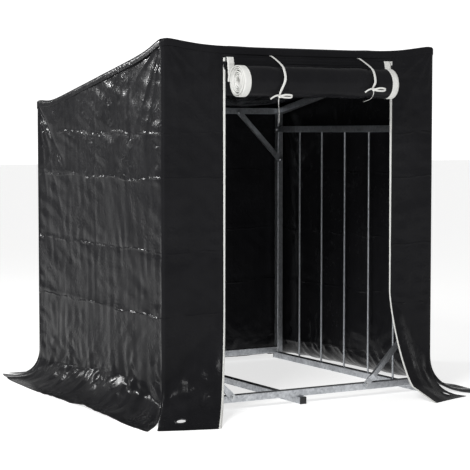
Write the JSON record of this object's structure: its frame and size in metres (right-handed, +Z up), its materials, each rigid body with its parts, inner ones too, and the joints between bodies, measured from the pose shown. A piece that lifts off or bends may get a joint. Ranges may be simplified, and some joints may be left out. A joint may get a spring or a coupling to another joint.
{
  "type": "firewood log rack",
  "caption": "Free-standing firewood rack: square-tube steel frame with barred sides under a black tarpaulin cover with ground skirts and a roll-up front door.",
  "frame": {"origin": "on the ground at the middle of the footprint, ground skirts included", "axes": "+X to the right when facing the door, +Y from the front to the back, +Z up"},
  "size_m": [1.4, 1.44, 1.25],
  "materials": {
    "galvanised_steel": "satin",
    "black_plastic": "satin",
    "tarpaulin": "gloss",
    "white_tape": "matte"
  },
  "bodies": {
    "rack": {"foot_bar_left": "galvanised_steel", "foot_cap_front_left": "black_plastic", "foot_cap_rear_left": "black_plastic", "foot_bar_centre": "galvanised_steel", "foot_cap_front_centre": "black_plastic", "foot_cap_rear_centre": "black_plastic", "foot_bar_right": "galvanised_steel", "foot_cap_front_right": "black_plastic", "foot_cap_rear_right": "black_plastic", "base_rail_front": "galvanised_steel", "top_rail_front": "galvanised_steel", "post_front_left": "galvanised_steel", "post_front_right": "galvanised_steel", "base_rail_rear": "galvanised_steel", "top_rail_rear": "galvanised_steel", "post_rear_left": "galvanised_steel", "post_rear_right": "galvanised_steel", "side_rail_left": "galvanised_steel", "roof_rail_left": "galvanised_steel", "front_brace_left": "galvanised_steel", "rear_brace_left": "galvanised_steel", "side_rod_left_1": "galvanised_steel", "side_rod_left_2": "galvanised_steel", "side_rod_left_3": "galvanised_steel", "side_rod_left_4": "galvanised_steel", "side_rod_left_5": "galvanised_steel", "cover_side_left": "tarpaulin", "cover_front_left": "tarpaulin", "zip_left": "white_tape", "tie_left": "white_tape", "side_rail_right": "galvanised_steel", "roof_rail_right": "galvanised_steel", "front_brace_right": "galvanised_steel", "rear_brace_right": "galvanised_steel", "side_rod_right_1": "galvanised_steel", "side_rod_right_2": "galvanised_steel", "side_rod_right_3": "galvanised_steel", "side_rod_right_4": "galvanised_steel", "side_rod_right_5": "galvanised_steel", "cover_side_right": "tarpaulin", "cover_front_right": "tarpaulin", "zip_right": "white_tape", "tie_right": "white_tape", "cover_roof": "tarpaulin", "cover_back": "tarpaulin", "cover_header": "tarpaulin", "door_panel_1": "tarpaulin"},
    "rolled_door": {"door_roll": "tarpaulin", "door_panel_8": "tarpaulin"},
    "door_length_2": {"door_panel_2": "tarpaulin"},
    "door_length_3": {"door_panel_3": "tarpaulin"},
    "door_length_4": {"door_panel_4": "tarpaulin"},
    "door_length_5": {"door_panel_5": "tarpaulin"},
    "door_length_6": {"door_panel_6": "tarpaulin"},
    "door_length_7": {"door_panel_7": "tarpaulin"},
    "slider_left": {"zip_slider_left": "black_plastic"},
    "slider_right": {"zip_slider_right": "black_plastic"}
  },
  "joints": [
    {"name": "door_lower", "type": "slide", "parent": "rack", "child": "rolled_door", "axis": [0, 0, -1], "range_m": [0, 0.992]},
    {"name": "door_unroll_2", "type": "slide", "parent": "rack", "child": "door_length_2", "axis": [0, 0, -1], "range_m": [0, 0.1422]},
    {"name": "door_unroll_3", "type": "slide", "parent": "rack", "child": "door_length_3", "axis": [0, 0, -1], "range_m": [0, 0.2839]},
    {"name": "door_unroll_4", "type": "slide", "parent": "rack", "child": "door_length_4", "axis": [0, 0, -1], "range_m": [0, 0.4256]},
    {"name": "door_unroll_5", "type": "slide", "parent": "rack", "child": "door_length_5", "axis": [0, 0, -1], "range_m": [0, 0.5674]},
    {"name": "door_unroll_6", "type": "slide", "parent": "rack", "child": "door_length_6", "axis": [0, 0, -1], "range_m": [0, 0.7091]},
    {"name": "door_unroll_7", "type": "slide", "parent": "rack", "child": "door_length_7", "axis": [0, 0, -1], "range_m": [0, 0.8508]},
    {"name": "zip_left_slide", "type": "slide", "parent": "rack", "child": "slider_left", "axis": [0, 0, -1], "range_m": [0, 0.79]},
    {"name": "zip_right_slide", "type": "slide", "parent": "rack", "child": "slider_right", "axis": [0, 0, -1], "range_m": [0, 0.79]}
  ],
  "couplings": [
    {"joint": "door_unroll_2", "follows": "door_lower", "ratio": 0.14286},
    {"joint": "door_unroll_3", "follows": "door_lower", "ratio": 0.28571},
    {"joint": "door_unroll_4", "follows": "door_lower", "ratio": 0.42857},
    {"joint": "door_unroll_5", "follows": "door_lower", "ratio": 0.57143},
    {"joint": "door_unroll_6", "follows": "door_lower", "ratio": 0.71429},
    {"joint": "door_unroll_7", "follows": "door_lower", "ratio": 0.85714}
  ]
}
